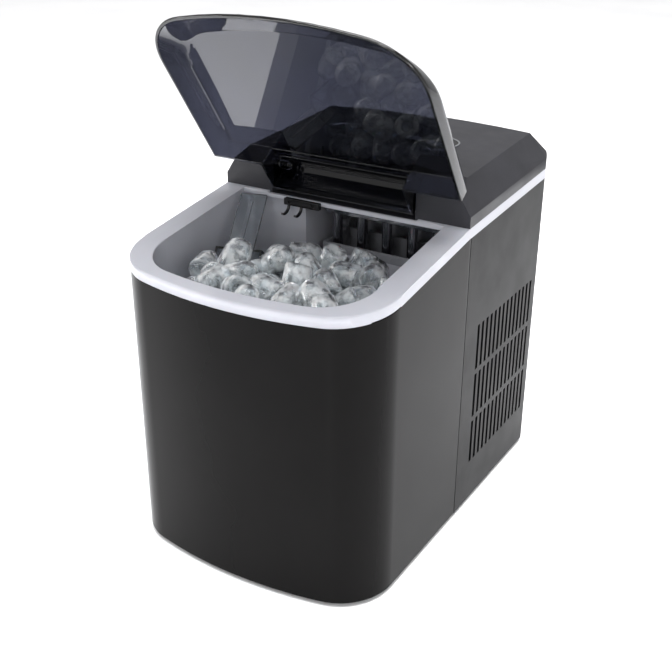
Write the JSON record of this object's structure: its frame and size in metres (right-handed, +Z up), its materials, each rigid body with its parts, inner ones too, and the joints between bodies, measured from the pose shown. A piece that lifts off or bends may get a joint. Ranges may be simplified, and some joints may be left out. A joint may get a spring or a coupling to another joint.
{
  "type": "ice maker",
  "caption": "Countertop bullet-ice maker with an open smoked lid, tank and basket, evaporator fingers, tilting tray, side louvres and control oval.",
  "frame": {"origin": "on the floor under the middle of the overall box in X and Y, at the feet", "axes": "+X to the machine's left as it faces the user, seen from the front to the right; +Y to the rear; +Z up"},
  "size_m": [0.242, 0.356, 0.4498],
  "materials": {
    "gloss_black": "high gloss",
    "satin_black": "semi gloss",
    "pan_black": "matt",
    "foot_rubber": "matt",
    "white_abs": "gloss",
    "foam": "foam",
    "charcoal": "fine satin texture",
    "grille_black": "matt",
    "screw_steel": "zinc",
    "smoked_clear": "smoked clear polycarbonate",
    "pin_steel": "polished",
    "bezel_chrome": "polished",
    "lens_black": "piano gloss",
    "button_silver": "satin silver",
    "led_blue": "frosted",
    "board_green": "solder mask",
    "box_grey": "matt",
    "nickel": "nickel plated",
    "bracket_black": "matt",
    "tray_grey": "satin",
    "shovel_grey": "satin",
    "motor_cream": "satin",
    "sensor_black": "satin",
    "float_white": "satin",
    "float_cream": "foamed",
    "basket_clear": "frosted",
    "scoop_clear": "clear",
    "pump_black": "satin",
    "hose_clear": "silicone",
    "compressor_black": "gloss paint",
    "mount_rubber": "matt",
    "condenser_alu": "mill finish",
    "shroud_black": "matt",
    "bracket_steel": "zinc",
    "motor_steel": "zinc",
    "fan_black": "satin",
    "copper": "drawn copper",
    "valve_brass": "machined",
    "spout_black": "satin",
    "cap_black": "satin",
    "gland_rubber": "matt"
  },
  "bodies": {
    "housing": {"front_shell": "gloss_black", "rear_shell": "satin_black", "base_pan": "pan_black", "feet": "foot_rubber", "tank_liner": "white_abs", "tank_foam": "foam", "top_cover": "charcoal", "rear_grille": "grille_black", "case_screws": "screw_steel", "hinge_pins": "pin_steel", "panel_bezel": "bezel_chrome", "control_lens": "lens_black", "indicator_leds": "led_blue", "display_board": "board_green", "main_board": "board_green", "board_box": "box_grey", "evaporator": "nickel", "evaporator_bracket": "bracket_black", "tray_motor": "motor_cream", "ice_sensor": "sensor_black", "float_stem": "float_white", "water_pump": "pump_black", "pump_hose": "hose_clear", "pump_inlet_hose": "hose_clear", "compressor": "compressor_black", "compressor_mounts": "mount_rubber", "condenser": "condenser_alu", "fan_shroud": "shroud_black", "fan_bracket": "bracket_steel", "fan_motor": "motor_steel", "filter_drier": "copper", "capillary": "copper", "hot_gas_valve": "valve_brass", "hot_gas_pipe": "copper", "discharge_pipe": "copper", "suction_pipe": "copper", "drain_spout": "spout_black", "drain_hose": "hose_clear", "cord_gland": "gland_rubber"},
    "lid": {"lid": "smoked_clear"},
    "power_key": {"power_button": "button_silver"},
    "select_key": {"select_button": "button_silver"},
    "tray": {"water_tray": "tray_grey"},
    "shovel": {"ice_shovel": "shovel_grey"},
    "fan": {"fan_blades": "fan_black"},
    "float": {"level_float": "float_cream"},
    "basket": {"ice_basket": "basket_clear"},
    "scoop": {"ice_scoop": "scoop_clear"},
    "drain_plug": {"drain_cap": "cap_black"}
  },
  "joints": [
    {"name": "lid_hinge", "type": "hinge", "parent": "housing", "child": "lid", "pos_m": [0, 0.006, 0.304], "axis": [-1, 0, 0], "range_deg": [-64, 12]},
    {"name": "power_press", "type": "slide", "parent": "housing", "child": "power_key", "axis": [0, 0.061, -0.9981], "range_m": [0, 0.001], "stiffness_N_per_m": 600, "springref_m": -0.0006},
    {"name": "select_press", "type": "slide", "parent": "housing", "child": "select_key", "axis": [0, 0.061, -0.9981], "range_m": [0, 0.001], "stiffness_N_per_m": 600, "springref_m": -0.0006},
    {"name": "tray_tilt", "type": "hinge", "parent": "housing", "child": "tray", "pos_m": [0, 0.068, 0.2365], "axis": [1, 0, 0], "range_deg": [0, 45]},
    {"name": "shovel_push", "type": "slide", "parent": "tray", "child": "shovel", "axis": [0, -1, 0], "range_m": [0, 0.034]},
    {"name": "fan_spin", "type": "hinge", "parent": "housing", "child": "fan", "pos_m": [0, 0.1, 0.1], "axis": [1, 0, 0], "continuous": true},
    {"name": "float_lift", "type": "slide", "parent": "housing", "child": "float", "axis": [0, 0, 1], "range_m": [0, 0.016]},
    {"name": "basket_lift", "type": "slide", "parent": "housing", "child": "basket", "axis": [0, 0, 1], "range_m": [0, 0.016]},
    {"name": "scoop_lift", "type": "slide", "parent": "basket", "child": "scoop", "axis": [0, -0.5592, 0.829], "range_m": [0, 0.06]},
    {"name": "drain_cap_turn", "type": "hinge", "parent": "housing", "child": "drain_plug", "pos_m": [-0.094, 0.17, 0.034], "axis": [0, 1, 0], "range_deg": [0, 360]}
  ],
  "couplings": [
    {"joint": "shovel_push", "follows": "tray_tilt", "m_per_rad": 0.043}
  ]
}
